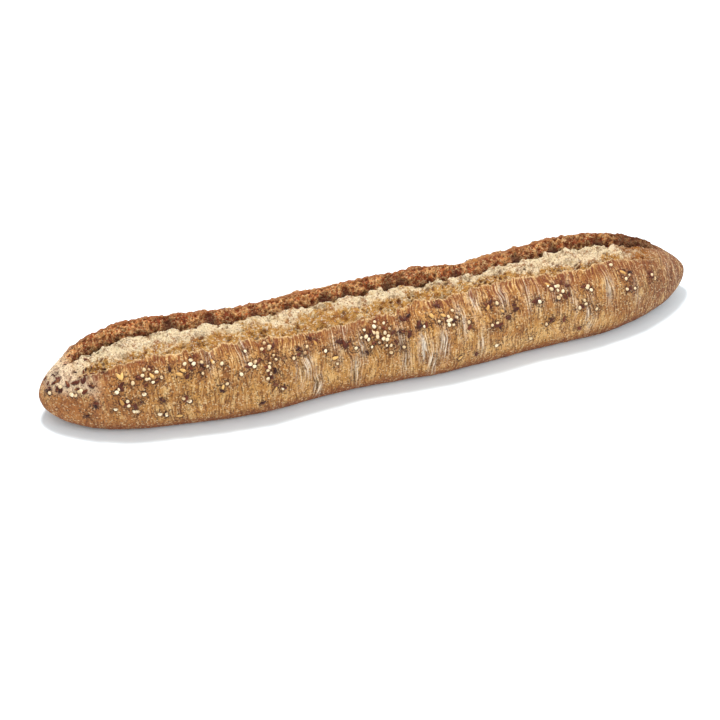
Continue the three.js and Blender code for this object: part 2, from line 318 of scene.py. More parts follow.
def station_places(count):
    """Stations at even steps along the loaf's outline, seen from above."""
    x = -LENGTH / 2 * np.cos(np.linspace(0, math.pi, OUTLINE_SAMPLES))
    run = np.concatenate([[0], np.cumsum(np.hypot(np.diff(x), np.diff(HALF_WIDTH * taper(x))))])
    return np.interp(np.linspace(0, run[-1], count + 2)[1:-1], run, x)


def curve_through(lines):
    """Points at the steps along a smooth curve through each station's lines."""
    count = lines.shape[1]
    i = np.minimum(steps.astype(int), count - 2)
    f = (steps - i)[None, :, None]
    before, after = np.maximum(i - 1, 0), np.minimum(i + 2, count - 1)
    return smooth_curve(lines[:, before], lines[:, i], lines[:, i + 1], lines[:, after], f)


def smooth_form(x):
    """The loaf's points before any relief: one row of points for each station."""
    lines = opening_lines(x)
    column = x[:, None]
    base = evenly(BASE_SHARE, -BASE_SHARE, BASE_POINTS)[None, :]
    heel = evenly(-90, 0, HEEL_POINTS)[None, :]
    front_top = angle_of(lines[:, 0, 0])[:, None]
    front = front_top * evenly(0, 1, FRONT_POINTS)[None, :]
    near_lip = ramp(front, front_top - LIP_SLOPE, front_top) * 0.7 * LIP_RISE * grown(column, OPENS)
    opening = curve_through(lines)
    back = evenly(float(angle_of(EAR["root"])), 270, BACK_POINTS)[None, :]
    return np.concatenate([
        place(column, base, 0 * base),
        place(column, *crust(heel)),
        place(column, *crust(front), near_lip),
        place(column, opening[..., 0], dome(opening[..., 0]), opening[..., 1]),
        place(column, *crust(back)),
    ], axis=1)


station_x = station_places(STATIONS)
form = smooth_form(station_x)
x_grid = np.broadcast_to(station_x[:, None], form.shape[:2])
ring_grid = np.broadcast_to(ring_place[None, :], form.shape[:2])
around = np.cumsum(np.linalg.norm(np.diff(form, axis=1, prepend=form[:, -1:]), axis=2), axis=1)
print("The widest ring measures", round(float(around[:, -1].max())), "mm around")

# %% [markdown]
# ## Where the seeds lie
# The dough was rolled in seeds: round pale sesame-like ones and flat flax seeds, brown and golden. They
# stuck in clusters. The clusters on the front are listed by place, angle and counts; those on the back and
# the strays come by chance, from the rule and the stream of numbers that put the seeds into the solid. Small
# seeds follow, dark ones on the left tip and others in the gaps of thick clusters. Blender can scatter seeds
# by itself, but then they wouldn't lie where the real ones do.

# %% Seed places
# Sizes in millimetres, and the share of the thickness that stands proud of the crust.
SEEDS = {
    "pale": {"length": 2.9, "width": 2.4, "thickness": 2.0, "proud": 0.6},
    "brown": {"length": 5.0, "width": 2.6, "thickness": 1.6, "proud": 0.55},
    "golden": {"length": 5.0, "width": 2.7, "thickness": 1.6, "proud": 0.55},
}
# Place along the loaf, angle, and how many pale, brown and golden seeds.
FRONT_CLUSTERS = [
    (-206, 50, 2, 3, 0), (-203, 70, 0, 3, 0), (-196, 58, 0, 3, 0), (-192, 85, 0, 3, 0), (-190, 37, 3, 3, 0),
    (-199, 31, 3, 0, 0), (-187, 12, 0, 2, 0), (-172, 30, 2, 2, 0), (-169, 44, 0, 0, 2), (-166, 5, 4, 5, 0),
    (-155, 37, 6, 3, 1), (-149, -10, 4, 1, 0), (-134, 36, 0, 1, 2), (-128, 47, 4, 3, 0), (-135, 8, 2, 3, 0),
    (-114, 41, 2, 0, 1), (-113, 13, 1, 1, 1), (-93, 34, 3, 2, 0), (-84, 48, 5, 3, 0), (-86, 21, 4, 4, 0),
    (-80, 5, 1, 2, 0), (-62, 37, 1, 4, 0), (-53, 44, 0, 1, 1), (-42, 21, 0, 0, 1), (-36, 31, 0, 4, 0),
    (-19, 36, 7, 5, 0), (-10, 33, 6, 3, 0), (5, 50, 0, 3, 0), (4, 33, 0, 4, 0), (14, 36, 1, 4, 0),
    (27, 60, 0, 3, 0), (31, 41, 5, 2, 1), (45, 28, 1, 1, 0), (60, 43, 1, 4, 0), (64, 20, 2, 4, 0),
    (75, 33, 0, 2, 0), (90, 36, 1, 3, 0), (98, 6, 1, 2, 0), (105, 49, 4, 3, 0), (107, 34, 3, 2, 0),
    (121, 20, 3, 1, 0), (127, 38, 3, 1, 0), (158, 46, 2, 3, 1), (159, 28, 2, 2, 0), (178, 38, 2, 3, 0),
]
BACK = {"clusters": 42, "low": 190, "high": 128, "most": (5, 5, 1.6)}
STRAYS = {"count": 110, "low": -22, "high": 202, "pale": 0.5, "brown": 0.85}
TIP_SEEDS = {"count": 34, "along": (-212, -178), "angle": (50, 106), "size": 0.58}
# Small seeds in the gaps of thick clusters: place along the loaf, angle, and counts.
SMALL_CLUSTERS = [
    (-152, 32, 6, 5), (-125, 40, 4, 4), (-82, 38, 8, 6), (-15, 33, 24, 10), (32, 35, 8, 4), (108, 42, 4, 6),
]
SMALL_SIZE = 0.76
SMALL_GAP = 2.6
SEEDED_REACH = 200
CLUSTER_SPREAD = 2.2
MM_PER_DEGREE = 0.65
LIP_MARGIN = 4


def numbers(state):
    """A stream of numbers from 0 to 1, the same on every run, from a well-known formula."""
    while True:
        state = (state * 1664525 + 1013904223) % 2**32
        yield state / 2**32


stream = numbers(20)
places = []


def draw():
    return next(stream)


def centred():
    """A number from -1 to 1 that is more often near 0."""
    return draw() + draw() - 1


def one(function, x, *more):
    """A section function's value at a single place."""
    return float(function(np.array(float(x)), *more))


def lip_angle(x):
    return float(angle_of(one(lip_at, x)))


def nearest_seed(x, angle):
    """How far away the nearest seed lies, in millimetres."""
    return min(math.hypot(x - p[1], (angle - p[2]) * MM_PER_DEGREE) for p in places)


def put_seed(kind, x, angle, size=1.0):
    """Note a seed's place. It stays off the torn crumb, and a small one keeps clear of the others."""
    if angle < 90 and one(grown, x, OPENS) > 0:
        angle = min(angle, lip_angle(x) - LIP_MARGIN)
    turn = math.pi * draw()
    if size == 1 or nearest_seed(x, angle) > SMALL_GAP:
        places.append((kind, x, angle, turn, size))


def put_cluster(middle, centre, *counts, size=1.0):
    """Note the places of seeds round the middle of a cluster, wider spread the more there are."""
    spread = CLUSTER_SPREAD * math.sqrt(sum(counts))
    for kind, count in zip(SEEDS, counts):
        for _ in range(count):
            x = middle + centred() * spread
            put_seed(kind, x, centre + centred() * spread / MM_PER_DEGREE, size)


for cluster in FRONT_CLUSTERS:
    put_cluster(*cluster)
for i in range(BACK["clusters"]):
    x = mix(-SEEDED_REACH, SEEDED_REACH, (i + draw()) / BACK["clusters"])
    angle = mix(BACK["high"], BACK["low"], draw())
    put_cluster(x, angle, *[math.floor(draw() * most) for most in BACK["most"]])
for i in range(STRAYS["count"]):
    x = mix(-SEEDED_REACH, SEEDED_REACH, (i + draw()) / STRAYS["count"])
    chance = draw()
    kind = "pale" if chance < STRAYS["pale"] else "brown" if chance < STRAYS["brown"] else "golden"
    angle = mix(STRAYS["low"], STRAYS["high"], draw())
    on_opening = lip_angle(x) - LIP_MARGIN < angle < float(angle_of(EAR["root"]))
    if not on_opening or one(grown, x, OPENS) == 0:
        put_seed(kind, x, angle)
for _ in range(TIP_SEEDS["count"]):
    x, angle = mix(*TIP_SEEDS["along"], draw()), mix(*TIP_SEEDS["angle"], draw())
    places.append(("brown", x, angle, math.pi * draw(), TIP_SEEDS["size"]))
for cluster in SMALL_CLUSTERS:
    put_cluster(*cluster, size=SMALL_SIZE)
seed_points = [spot_on_crust(x, angle) for _, x, angle, *_ in places]
seed_tree = KDTree(len(seed_points))
for number, point in enumerate(seed_points):
    seed_tree.insert(point, number)
seed_tree.balance()
seed_gap = np.array([seed_tree.find(p)[2] for p in form.reshape(-1, 3)]).reshape(form.shape[:2])

print(len(places), "seeds:", {kind: sum(p[0] == kind for p in places) for kind in SEEDS})

# %% [markdown]
# ## Which crust lies where
# The relief and the colours differ from place to place: torn crumb, the ear's spongy inner face, its
# scorched rim, smooth skin. Each is a mask from 0 to 1, worked out from the place across the section and
# how far the cut has opened there. Painting them by hand would be lost each time the form changes.

# %% Masks
# The torn crumb runs on to these distances from the right tip, where the cut itself has nearly closed.
LAST_TORN = (20, 38)
opened, lifted = grown(x_grid, OPENS), grown(x_grid, LIFTS)


def band(start, end, soft=0.5):
    """A mask that is 1 between two lines of the opening, with soft edges."""
    rising = ramp(ring_grid, LINE[start] - soft, LINE[start] + soft)
    return rising * (1 - ramp(ring_grid, LINE[end] - soft, LINE[end] + soft))


torn_open = np.maximum(opened, ramp(LENGTH / 2 - x_grid, *LAST_TORN) * (x_grid > 0))
crumb = band("gutter", "crevice", 0.4) * torn_open
ear_face = band("crevice", "ear tip", 0.4) * np.maximum(opened, lifted)
rim = bell(ring_grid - LINE["ear tip"], 0.8) * lifted
top_edge = bell(ring_grid - LINE["ear edge"] - 0.2, 1.5) * lifted
underneath = 1 - ramp(ring_grid, -3.05, -2.95) + ramp(ring_grid, BACK_START + 1.93, BACK_START + 2)
skin = np.clip(1 - crumb - ear_face - underneath, 0, 1)
crest_share = ramp(ring_grid, LINE["gutter"], LINE["crest"]) * opened
print("Crumb covers", round(100 * float((crumb > 0.5).mean())), "% of the points")

# %% [markdown]
# ## Noise for crags and pores
# Bread is broken up at several sizes at once. Blender's fractal noise gives lumps and crags, and its Voronoi
# cells give pores with thin walls between them. They are read at each point's own place in the bread, so
# nothing stretches where the grid is dense.

# %% Noise helpers
PORE_WALL = 0.45


def lumps(points, size, octaves=2):
    """Fractal noise at each point, from about -1 to 1, for lumps of this size in millimetres."""
    return np.array([noise.fractal(Vector(p), 1.0, 2.0, octaves) for p in points / size])


def pore_walls(points, size):
    """How near each point is to the middle of a pore: 0 on the walls between pores, to 1."""
    gaps = [noise.voronoi(Vector(p))[0] for p in points / size]
    return np.array([min(1.0, (far - near) / PORE_WALL) for near, far, *_ in gaps])


def noise_on(mask, make):
    """A noise worked out only where a mask is above 0, times the mask."""
    result = np.zeros(mask.shape)
    where = mask > 0.003
    result[where] = make(form[where]) * mask[where]
    return result


print("Noise at four points of the left tip:", lumps(form[0, :4], 3).round(2))

# %% [markdown]
# ## Relief of the crumb and the ear
# The torn crumb is craggy: big swells from the strands of dough, small crags on them, and pores between. The
# ear's face was torn too, but it dried in the oven's heat, so its pores stay open and its rim is ragged. All
# of it moves the mesh's points along their normals, because from a hand's width away such crags throw real
# shadows, which a bump in the material can't.

# %% Crumb, ear and rim
# Burst bubbles on the ear's face: place along the loaf, share of the way up, and radius.
BUBBLES = [
    (-133, 0.45, 4), (-109, 0.5, 4.5), (-81, 0.3, 4), (-60, 0.3, 3), (-36, 0.3, 4.5), (-22, 0.3, 3.5),
    (5, 0.4, 3.2), (13, 0.4, 3.2), (50, 0.3, 3.5), (93, 0.4, 4), (119, 0.3, 4.5), (152, 0.4, 4),
]
BUBBLE_DEPTH = 2.4
BUBBLE_CLIMB = 0.35
PORE_DEPTH = 1.9
# A place where the ear's rim has sunk.
DIP = {"x": 57, "wide": 12, "deep": 2.7}

# The number before each noise is its height, and the first one in it its size, in millimetres.
crumb_swell = noise_on(crumb, lambda p: 2.4 * lumps(p, 11) + 2.1 * lumps(p, 3.6, 3) - 1.5)
crumb_pores = noise_on(crumb, lambda p: pore_walls(p, 3.4) * ramp(lumps(p + 50, 7), -0.1, 0.35))
ear_swell = noise_on(ear_face, lambda p: 0.7 * lumps(p, 6) + 1.0 * lumps(p, 2.6))
ear_pores = noise_on(ear_face, lambda p: pore_walls(p * (1, 1, 0.6), 3.2))
pillars = noise_on(ear_face * opened, lambda p: 1.3 * lumps(p * (1, 0.25, 0.25), 3.4, 1))
rim_ragged = noise_on(top_edge, lambda p: 1.7 * lumps(p, 10) + 1.3 * lumps(p, 3))
rim_ragged -= DIP["deep"] * bell(x_grid - DIP["x"], DIP["wide"]) * top_edge

climb = np.clip((ring_grid - LINE["crevice"]) / (LINE["ear tip"] - LINE["crevice"]), 0, 1)
bubbles = np.zeros(form.shape[:2])
for middle, up, radius in BUBBLES:
    away = ((x_grid - middle) / radius) ** 2 + ((climb - up) / BUBBLE_CLIMB) ** 2
    bubbles = np.maximum(bubbles, np.exp(-(away**2)) * ear_face)

torn = crumb_swell + ear_swell + rim_ragged + pillars * (1 - ramp(climb, 0.3, 0.7))
torn -= PORE_DEPTH * (crumb_pores + ear_pores * (1 - bubbles)) + BUBBLE_DEPTH * bubbles
print("Torn relief runs from", round(float(torn.min()), 2), "to", round(float(torn.max()), 2), "mm")

# %% [markdown]
# ## Relief of the skin
# The dough's skin dries before the loaf stops growing, so it wrinkles and splits in fine lines that run
# round the loaf, mostly where the flour lies thick. They could be cut one by one, but a noise stretched ten
# times round the loaf makes them all, each along a line where it is zero. Low blisters stand on the skin
# too, and it is raised in a collar round each seed.

# %% Wrinkles, lumps and blisters
# Places where wrinkles gather: place along the loaf, angle, and strength.
WRINKLES = [
    (-185, 20, 0.15), (-119, 53, 0.6), (-98, 55, 0.7), (-66, 10, 0.6), (-61, 19, 0.8), (-55, -10, 0.9),
    (-42, 28, 0.6), (-34, 48, 0.5), (-30, -1, 0.8), (-25, 26, 0.6), (0, 26, 0.7), (2, 1, 0.8),
    (13, 12, 1.0), (19, -6, 1.0), (26, 10, 0.9), (39, 35, 0.8), (50, 54, 0.8), (52, 4, 0.6), (69, 46, 0.7),
    (86, 45, 0.6), (93, 36, 0.4), (104, 31, 0.6), (113, 40, 0.4), (115, 24, 0.5), (127, 5, 1.0),
    (142, 36, 0.65), (163, 20, 0.3), (192, 60, 0.15), (200, 30, 0.15),
]
# Those on the back come by chance, with places, angles and strengths between these.
BACK_COUNT = 30
BACK_SPANS = [(-190, 190), (135, 200), (0.4, 1)]
PATCH = {"wide": 3.0, "tall": 9.5}
WRINKLE_SPACING = 3.4
WRINKLE_RUN = 34
WRINKLE_DEPTH = 0.35
WRINKLE_DRIFT = 1.2
GROOVE_WIDTH = 0.08
BLISTERS = {"count": 90, "radius": (1.4, 3.6), "height": 0.55}
COLLAR = {"height": 0.25, "away": 2.0, "width": 1.0}

wrinkle_rng = np.random.default_rng(3)
behind = [[wrinkle_rng.uniform(*span) for span in BACK_SPANS] for _ in range(BACK_COUNT)]
wrinkled = np.zeros(form.shape[:2])
for x, angle, strength in WRINKLES + behind:
    middle = spot_on_crust(x, angle)
    sideways = (form[..., 0] - middle[0]) / PATCH["wide"]
    upwards = np.linalg.norm(form[..., 1:] - middle[1:], axis=2) / PATCH["tall"]
    wrinkled = np.maximum(wrinkled, strength * np.exp(-(sideways**2) - upwards**2))
wrinkled *= skin

lay = np.stack([x_grid / WRINKLE_SPACING, around / WRINKLE_RUN, 0 * x_grid], -1)
drift = noise_on(skin, lambda p: lumps(p, 16))
lay[..., 0] += WRINKLE_DRIFT * drift


def valleys(points, width):
    """1 along the thin lines where the noise is zero, falling to 0 beside them."""
    return bell(np.array([noise.noise(Vector(p)) for p in points]), width)


grooves = np.zeros(form.shape[:2])
where = wrinkled > 0.05
grooves[where] = valleys(lay[where], GROOVE_WIDTH) * ramp(wrinkled[where], 0.1, 0.5)
skin_swell = noise_on(skin, lambda p: 0.6 * lumps(p, 26) + 0.14 * lumps(p, 5))
blister_rng = np.random.default_rng(11)
blisters = np.zeros(form.shape[:2])
for _ in range(BLISTERS["count"]):
    middle = form[blister_rng.integers(STATIONS), blister_rng.integers(form.shape[1])]
    radius = blister_rng.uniform(*BLISTERS["radius"])
    gap = np.linalg.norm(form - middle, axis=2) / radius
    blisters = np.maximum(blisters, np.clip(1 - gap**2, 0, 1) * radius / BLISTERS["radius"][1])
blisters *= skin

seed_collar = COLLAR["height"] * bell(seed_gap - COLLAR["away"], COLLAR["width"]) * skin
relief = torn + seed_collar + skin_swell - WRINKLE_DEPTH * grooves + BLISTERS["height"] * blisters
print("Grooves are", WRINKLE_DEPTH, "mm deep, and blisters up to", BLISTERS["height"], "mm high")

# %% [markdown]
# ## One closed mesh
# The relief moves each point along the form's normal, which comes from the cross product of the directions
# to its neighbours. A displace modifier would need it as a picture, but it is already known at each point.
# The rings are joined with four-sided faces and closed with a point at each tip. The loaf rests on a flat of
# its underside, and the rest of it stands a little clear of the table.

# %% The loaf's mesh


def unit(vectors):
    """Vectors with their lengths made 1."""
    return vectors / np.maximum(np.linalg.norm(vectors, axis=-1, keepdims=True), 1e-9)


lengthwise = np.gradient(form, axis=0)
roundwise = np.roll(form, -1, axis=1) - np.roll(form, 1, axis=1)
normals = unit(np.cross(lengthwise, roundwise))
fade = np.sqrt(taper(x_grid)) * (1 - underneath)
surface = form + normals * (relief * fade)[..., None]
outside = np.maximum(FLAT["left"] - surface[..., 0], surface[..., 0] - FLAT["right"])
outside = np.maximum(outside, np.abs(surface[..., 1] - SIDE_SHIFT) - FLAT["half"])
surface[..., 2] = np.maximum(surface[..., 2], FLAT["clear"] * ramp(outside, 0, FLAT["edge"]))
BOX = np.array([low, high]) / MM
surface = np.clip(surface, BOX[0], BOX[1])


def closed_mesh(name, grid, tips):
    """One closed mesh from rows of points, with a point at each end."""
    rows, columns = grid.shape[:2]
    i, j = np.meshgrid(np.arange(rows - 1), np.arange(columns), indexing="ij")
    after = (j + 1) % columns
    ring, next_ring = i * columns, (i + 1) * columns
    quads = np.stack([ring + j, next_ring + j, next_ring + after, ring + after], -1)
    first, second = rows * columns, rows * columns + 1
    last = (rows - 1) * columns
    ends = [(first, j, (j + 1) % columns) for j in range(columns)]
    ends += [(second, last + (j + 1) % columns, last + j) for j in range(columns)]
    mesh = bpy.data.meshes.new(name)
    points = np.concatenate([grid.reshape(-1, 3), tips]) * MM
    mesh.from_pydata(points.tolist(), [], quads.reshape(-1, 4).tolist() + ends)
    mesh.shade_smooth()
    return mesh


tips = place(np.array([-LENGTH / 2, LENGTH / 2]), np.zeros(2), np.zeros(2))
loaf = bpy.data.objects.new("baked_loaf", closed_mesh("baked_loaf", surface, tips))
bpy.context.collection.objects.link(loaf)
print("The loaf has", len(loaf.data.polygons), "faces")

# %% [markdown]
# ## A flat map of the crust
# When the model is exported, its colours are baked into a picture, and each point of the crust needs a place
# in it. Blender can unwrap a mesh by itself, but a form that is already rows and columns lies flat without
# any stretching: the crust is cut open under the loaf and in the middle, and makes two strips.

# %% The map for baking
COLUMNS = len(ring_place)
HALF = STATIONS // 2
MARGIN = 0.02
share_round = (around - around[:, :1]) / around[:, -1:]
share_round = np.append(share_round, np.ones((STATIONS, 1)), axis=1)


def map_place(station, column, strip):
    """Where a corner lies in the map: along its strip, and across it by its share of the way round."""
    station, column, strip = np.broadcast_arrays(station, column, strip)
    share = share_round[np.clip(station, 0, STATIONS - 1), column]
    across = (strip + MARGIN + (1 - 2 * MARGIN) * share) / 2
    return np.stack([(station + 1 - strip * HALF) / (HALF + 2), across], -1)


i, j = [part.ravel() for part in np.meshgrid(np.arange(STATIONS - 1), np.arange(COLUMNS), indexing="ij")]
side = (i >= HALF).astype(int)
corners = [(i, j), (i + 1, j), (i + 1, j + 1), (i, j + 1)]
quad_map = np.stack([map_place(*corner, side) for corner in corners], 1)
j, final = np.arange(COLUMNS), STATIONS - 1
left_map = np.stack([map_place(*corner, 0) for corner in [(-1, j), (0, j), (0, j + 1)]], 1)
right_map = np.stack([map_place(*corner, 1) for corner in [(final + 1, j), (final, j + 1), (final, j)]], 1)
places_in_map = np.concatenate([part.reshape(-1, 2) for part in (quad_map, left_map, right_map)])
bake_map = loaf.data.uv_layers.new(name="OFBake")
bake_map.data.foreach_set("uv", places_in_map.astype(np.float32).ravel())
print("The map runs from", places_in_map.min(0).round(2), "to", places_in_map.max(0).round(2))

# %% [markdown]
# ## Painting the masks onto the mesh
# A material can't know where the torn lip runs, so every mask is kept on the mesh as an attribute, one
# number for each vertex, which the material reads by name. Painted pictures could do that too, but only as
# finely as their pixels. Distances and places are in millimetres. The place along and round the loaf is kept
# as well, so that fibres can run round it.

# %% Attributes
TOAST_REACH = (12, 21)
SCORCH_REACH = 7
FIBRE_DRIFT = 2.5


def paint(name, values):
    """Keep a number for every vertex; the two tips take the mean of their rings."""
    layer = loaf.data.attributes.new(name, "FLOAT", "POINT")
    ends = [values[0].mean(), values[-1].mean()]
    layer.data.foreach_set("value", np.append(values, ends).astype(np.float32))


height = form[..., 2]
lip_column = int(np.argmin(np.abs(ring_place - LINE["lip"])))
below_lip = around[:, lip_column][:, None] - around
beneath = (below_lip > -0.5) & (ring_grid < LINE["lip"] + 0.3)
toast_reach = mix(*TOAST_REACH, ramp(x_grid, 30, 80))
toast = (1 - ramp(below_lip, 1, toast_reach)) * beneath * opened
lip_line = bell(below_lip, 0.8) * opened
rim_column = int(np.argmin(np.abs(ring_place - LINE["ear tip"])))
past_rim = around - around[:, rim_column][:, None]
scorch = bell(np.clip(past_rim, 0, None), SCORCH_REACH) * (ring_grid > LINE["ear tip"]) * lifted
cream_tip = ramp(-x_grid, 179, 190) * ramp(height - 0.2 * (x_grid + 198), 25, 31)
golden = ramp(x_grid, 20, 60) * (1 - ramp(x_grid, 120, 150))
golden *= ramp(height, 9, 16) * (1 - ramp(height, 16, 26))
masks = {
    "crumb": crumb,
    "ear": ear_face,
    "rim": rim,
    "scorch": scorch,
    "lip": lip_line,
    "crest": crest_share,
    # The next two lay painted shade in the burst bubbles and in the pores of the crumb and the ear.
    "bubble": bubbles,
    "pores": np.clip(crumb_pores + ear_pores, 0, 1),
    # Painted shade in the grooves of the wrinkles.
    "groove": np.clip(grooves, 0, 1),
    "flour": np.clip(wrinkled, 0, 1),
    "blister": blisters,
    "toast": toast,
    "heel": 1 - ramp(height, 3, 13),
    "gold": golden,
    # Painted shade in the crevice at the ear's foot.
    "foot": bell(ring_grid - LINE["crevice"] - 0.4, 1.5) * opened,
    # Painted shade round each seed.
    "seeds": bell(seed_gap, 2.4) * skin * (1 - 0.85 * cream_tip),
    "cluster": np.exp(-((seed_gap / 4.5) ** 4)) * skin * (1 - 0.8 * cream_tip),
    # Painted shade in the gap at each seed's edge.
    "seed_gap_shade": bell(seed_gap - 1.3, 0.5) * skin,
    "cream": cream_tip,
    "last": ramp(x_grid, 158, 170),
    "fresh": 0.42 * ramp(-x_grid, 100, 165) + 0.55 * ramp(x_grid, 50, 120),
    "right": ramp(x_grid, 110, 195),
    "left": ramp(-x_grid, 130, 205),
}
for name, values in masks.items():
    paint(name, values)
lay_layer = loaf.data.attributes.new("lay", "FLOAT_VECTOR", "POINT")
lay_points = np.stack([x_grid + FIBRE_DRIFT * drift, around, 0 * x_grid], -1).reshape(-1, 3)
lay_points = np.concatenate([lay_points, lay_points[:1], lay_points[-1:]])
lay_layer.data.foreach_set("vector", lay_points.astype(np.float32).ravel())
print("The material can read", ", ".join(masks), "and lay")

# %% [markdown]
# ## Helpers for materials
# A material is a net of small steps. It could be wired by hand in the shader editor, but these helpers make
# one step each, so that the recipes below read as what happens to the crust: a grain, a threshold, a blend
# of two colours.

# %% Material helpers


def colour(code):
    """A colour in linear light, from the code that a picture editor shows."""
    parts = [int(code[i : i + 2], 16) / 255 for i in (0, 2, 4)]
    return [p / 12.92 if p <= 0.04045 else ((p + 0.055) / 1.055) ** 2.4 for p in parts] + [1]


def start(name):
    """A new material, and the shader at its end."""
    made = bpy.data.materials.new(name)
    made.use_nodes = True
    return made, made.node_tree.nodes["Principled BSDF"]


def step(kind, inputs, **settings):
    """One step of the recipe, in the material that is being made."""
    made = tree.nodes.new("ShaderNode" + kind)
    for name, value in settings.items():
        setattr(made, name, value)
    for name, value in inputs.items():
        socket = made.inputs[name]
        if isinstance(value, bpy.types.NodeSocket):
            tree.links.new(value, socket)
        else:
            socket.default_value = value
    return made


def mask(name):
    """A mask that was painted onto the mesh."""
    return step("Attribute", {}, attribute_name=name).outputs["Fac"]


def spread_out(where, stretch):
    """A place with each of its coordinates multiplied."""
    return step("VectorMath", {0: where, 1: stretch}, operation="MULTIPLY").outputs[0]


def grain(where, size, detail=3, rough=0.5):
    """Noise around 0.5 whose lumps have this size, in the unit of the place that it reads."""
    inputs = {"Vector": where, "Scale": 1 / size, "Detail": detail, "Roughness": rough}
    return step("TexNoise", inputs).outputs["Fac"]


def cells(where):
    """A different number from 0 to 1 for every cell of a net of cells about one unit across."""
    net = step("TexVoronoi", {"Vector": where, "Scale": 1.0})
    return step("SeparateColor", {"Color": net.outputs["Color"]}).outputs["Red"]


def between(value, start_at, end_at):
    """A smooth step from 0 to 1; the two places may be given the other way round."""
    inputs = {"Value": value, "From Min": start_at, "From Max": end_at}
    return step("MapRange", inputs, interpolation_type="SMOOTHSTEP").outputs["Result"]


def work(operation, a, b):
    """A sum, a product or the like of two values."""
    return step("Math", {0: a, 1: b}, operation=operation).outputs[0]


def times(*values):
    """Several shares multiplied, so that all of them have to be high."""
    result = values[0]
    for value in values[1:]:
        result = work("MULTIPLY", result, value)
    return result


def blend(share, a, b, strength=1.0):
    """From colour a to colour b by a share."""
    if strength != 1.0:
        share = work("MULTIPLY", share, strength)
    return step("Mix", {0: share, 6: a, 7: b}, data_type="RGBA").outputs[2]


def layered(base, layers):
    """A colour with others laid over it in turn, each by its share, code and strength."""
    for share, code, strength in layers:
        base = blend(share, base, colour(code), strength)
    return base


print("Colours are six-digit codes, and b07c46 is", [round(c, 3) for c in colour("b07c46")])

# %% [markdown]
# ## The crust's colours
# Crust browns by heat: the skin is golden, the heel on the hot stone and the torn edges are redder, the ear
# is the darkest, and the crumb stays cream at its crest. All of these are one surface, so they are one
# material: each region's colour is mixed from two tones by a grain, thin layers are laid over it, and then
# the regions are laid over each other. The grains come first, because every region shares them.

# %% The loaf's material
# How far apart the skin's fibres lie, and how long they are, in millimetres.
FINE, STREAK, BROAD = (0.95, 11), (1.15, 24), (4.5, 20)
material, shader = start("baked crust")
tree = material.node_tree
bread = step("TexCoord", {}).outputs["Object"]
lay_at = step("Attribute", {}, attribute_name="lay").outputs["Vector"]


def fibres(sizes, detail, rough):
    """Grain drawn out round the loaf."""
    apart, run = sizes
    return grain(spread_out(lay_at, (1 / apart, 1 / run, 1)), 1, detail, rough)


fine_fibres = fibres(FINE, 2, 0.6)
streaks = fibres(STREAK, 1, 0.4)
broad_fibres = fibres(BROAD, 4, 0.65)
specks = grain(bread, 1.1 * MM, 3, 0.6)
grit = cells(spread_out(bread, (1 / (0.8 * MM),) * 3))
# Noise for the painted shade between the ear's pillars.
pillar_shade_grain = grain(spread_out(bread, (1 / (3.4 * MM), 1 / (14 * MM), 1 / (9 * MM))), 1, 3, 0.6)
flecks = grain(bread, 4.2 * MM, 4, 0.65)
clouds = grain(bread, 15 * MM, 4, 0.6)
print("Fibres run round the loaf,", FINE[0], STREAK[0], "and", BROAD[0], "mm apart")

# %% [markdown]
# ## The skin
# The skin is laid up as an oven does it: first a golden ground with what the heat did to each part of the
# loaf, then fibres, flecks of bran and grit, and last the flour, the cracks in it, painted shade in its
# grooves and round the seeds, dark bits among the seeds and the toasted band under the lip. A painter would
# glaze a picture in the same order.

# %% The skin's ground
skin_colour = blend(between(clouds, 0.35, 0.65), colour("a86e34"), colour("c08a46"))
skin_colour = layered(skin_colour, [
    (mask("heel"), "924f26", 0.85),
    (mask("right"), "7c4426", 0.8),
    (mask("left"), "a05c2c", 0.6),
    (mask("gold"), "e4b676", 0.45),
    (mask("cream"), "ecd2b0", 0.9),
])
print("The skin's ground takes", len(tree.nodes), "steps")

# %% Fibres and grit
fibrous = work("SUBTRACT", 1.0, work("MAXIMUM", mask("heel"), work("MULTIPLY", mask("left"), 0.8)))
skin_colour = layered(skin_colour, [
    # Fibres in the dips and on the ridges, broad and fine.
    (between(broad_fibres, 0.47, 0.37), "7c461e", 0.45),
    (between(broad_fibres, 0.52, 0.64), "dcb274", 0.5),
    (times(between(fine_fibres, 0.46, 0.37), fibrous), "4e2a12", 0.65),
    (times(between(fine_fibres, 0.55, 0.64), fibrous), "ecc890", 0.45),
    # Flecks of bran, and the heel browned once more.
    (between(flecks, 0.56, 0.64), "6a3518", 0.55),
    (mask("heel"), "843f1c", 0.35),
    (times(mask("heel"), between(mask("right"), -0.4, 0.5)), "5e2e14", 0.6),
    # Dark and pale grit, and dark specks.
    (between(grit, 0.2, 0.08), "40200e", 0.6),
    (between(grit, 0.86, 0.97), "f0d2a2", 0.5),
    (between(specks, 0.42, 0.35), "45230e", 0.5),
])
print("With fibres and grit it takes", len(tree.nodes), "steps")

# %% Flour, cracks, seeds and the toasted band
skin_colour = layered(skin_colour, [
    # A veil of flour, its thick streaks, and the cracks between them.
    (times(mask("flour"), between(specks, 0.47, 0.6)), "f0d8b2", 0.5),
    (times(mask("flour"), between(streaks, 0.48, 0.55), between(fine_fibres, 0.38, 0.5)), "f8ecda", 0.72),
    (times(mask("flour"), between(streaks, 0.46, 0.41)), "341a0c", 0.8),
    # Painted shade in the grooves, then browner blisters.
    (mask("groove"), "3a1c0c", 0.6),
    (mask("blister"), "9c6430", 0.4),
    # Round the seeds: painted shade round each seed and in the gap at its edge, and dark bits.
    (mask("seeds"), "5e2e1a", 0.5),
    (mask("seed_gap_shade"), "240f08", 0.5),
    (times(mask("cluster"), between(grit, 0.4, 0.25)), "301409", 0.75),
    # The toasted band under the lip.
    (times(mask("toast"), between(fine_fibres, 0.6, 0.42)), "76381a", 0.85),
])
print("The whole skin takes", len(tree.nodes), "steps")
